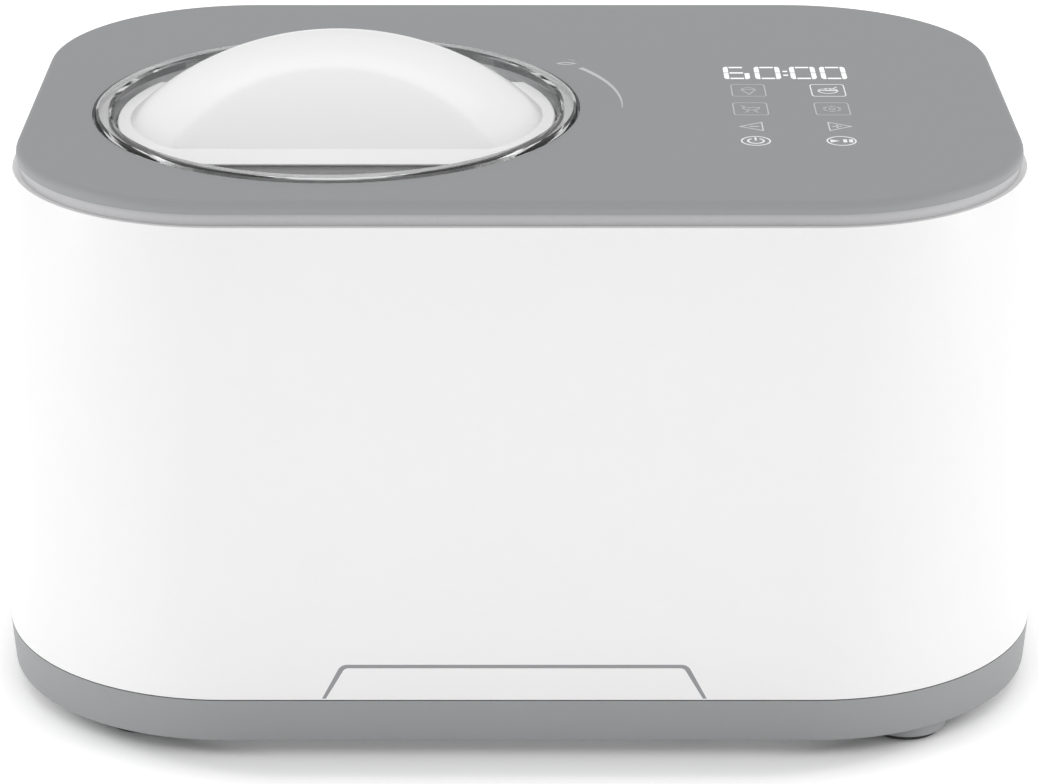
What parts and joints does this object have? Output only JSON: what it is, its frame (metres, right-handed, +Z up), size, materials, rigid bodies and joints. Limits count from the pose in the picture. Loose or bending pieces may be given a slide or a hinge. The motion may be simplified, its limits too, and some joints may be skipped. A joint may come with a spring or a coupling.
{
  "type": "ice cream maker",
  "caption": "Worktop ice cream maker: white rounded housing, grey touch-panel top, clear twist-lock lid with arched handle, lift-out bowl, geared paddle drive and compressor cooling.",
  "frame": {"origin": "on the worktop, below the middle of the casing", "axes": "+X to the right seen from the front, +Y to the rear, +Z up"},
  "size_m": [0.42, 0.284, 0.2572],
  "materials": {
    "white_housing": "satin moulded",
    "white_handle": "gloss moulded",
    "grey_top": "fine matte",
    "grey_base": "matte moulded",
    "silver_trim": "satin",
    "clear_lid": "clear polished",
    "foot_rubber": "matte",
    "seal_silicone": "matte",
    "bowl_metal": "brushed",
    "paddle_plastic": "satin moulded",
    "shaft_steel": "ground",
    "gear_plastic": "moulded",
    "bush_bronze": "sintered",
    "copper_tube": "drawn",
    "foam": "foamed",
    "black_plastic": "moulded",
    "compressor_paint": "gloss",
    "fin_aluminium": "plain",
    "circuit_board": "lacquered"
  },
  "bodies": {
    "base": {"base_pan": "grey_base", "rubber_feet": "foot_rubber", "housing_shell": "white_housing", "front_line": "silver_trim", "rear_panel": "white_housing", "cord_gland": "foot_rubber", "trim_ring": "silver_trim", "top_plate": "grey_top", "bowl_collar": "grey_base", "evaporator_well": "bowl_metal", "evaporator_coil": "copper_tube", "insulation_jacket": "foam", "lower_bush": "bush_bronze", "upper_bush": "bush_bronze", "shaft_seal": "foot_rubber", "idler_pin": "shaft_steel", "gearbox_base": "black_plastic", "gearbox_cover": "black_plastic", "gearbox_standoffs": "shaft_steel", "motor_can": "shaft_steel", "motor_end_cap": "black_plastic", "motor_magnets": "black_plastic", "compressor_shell": "compressor_paint", "compressor_plate": "shaft_steel", "compressor_grommets": "foot_rubber", "terminal_cover": "black_plastic", "condenser_fins": "fin_aluminium", "condenser_end_plates": "shaft_steel", "condenser_tube": "copper_tube", "fan_shroud": "black_plastic", "fan_motor": "black_plastic", "filter_drier": "copper_tube", "discharge_tube": "copper_tube", "liquid_tube": "copper_tube", "capillary_tube": "copper_tube", "suction_tube": "copper_tube", "display_board": "circuit_board", "display_standoffs": "shaft_steel", "touch_pads": "seal_silicone", "digit_display": "black_plastic", "power_board": "circuit_board", "power_components": "black_plastic"},
    "bowl": {"mixing_bowl": "bowl_metal"},
    "seal": {"lid_seal": "seal_silicone"},
    "lid": {"lid_clear": "clear_lid", "lid_handle": "white_handle"},
    "stirrer": {"paddle": "paddle_plastic"},
    "drive": {"drive_shaft": "shaft_steel", "output_gear": "gear_plastic"},
    "idler": {"idler_gear": "gear_plastic"},
    "motor_rotor": {"motor_shaft": "shaft_steel", "motor_pinion": "gear_plastic", "rotor_core": "shaft_steel"},
    "fan": {"fan_rotor": "black_plastic"}
  },
  "joints": [
    {"name": "bowl_lift", "type": "slide", "parent": "base", "child": "bowl", "axis": [0, 0, 1], "range_m": [0, 0.15]},
    {"name": "lid_lift", "type": "slide", "parent": "bowl", "child": "seal", "axis": [0, 0, 1], "range_m": [0, 0.12]},
    {"name": "lid_turn", "type": "hinge", "parent": "seal", "child": "lid", "pos_m": [-0.0735, -0.0163, 0.2], "axis": [0, 0, 1], "range_deg": [0, 35]},
    {"name": "drive_spin", "type": "hinge", "parent": "base", "child": "drive", "pos_m": [-0.0735, -0.0163, 0.1], "axis": [0, 0, 1], "continuous": true},
    {"name": "paddle_spin", "type": "hinge", "parent": "bowl", "child": "stirrer", "pos_m": [-0.0735, -0.0163, 0.15], "axis": [0, 0, 1], "continuous": true},
    {"name": "idler_spin", "type": "hinge", "parent": "base", "child": "idler", "pos_m": [-0.021, -0.0163, 0.08], "axis": [0, 0, 1], "continuous": true},
    {"name": "motor_spin", "type": "hinge", "parent": "base", "child": "motor_rotor", "pos_m": [0.015, -0.0163, 0.07], "axis": [0, 0, 1], "continuous": true},
    {"name": "fan_spin", "type": "hinge", "parent": "base", "child": "fan", "pos_m": [0.062, 0.107, 0.093], "axis": [0, 1, 0], "continuous": true}
  ],
  "couplings": [
    {"joint": "drive_spin", "follows": "idler_spin", "ratio": -0.2},
    {"joint": "paddle_spin", "follows": "idler_spin", "ratio": -0.2},
    {"joint": "motor_spin", "follows": "idler_spin", "ratio": -5}
  ]
}
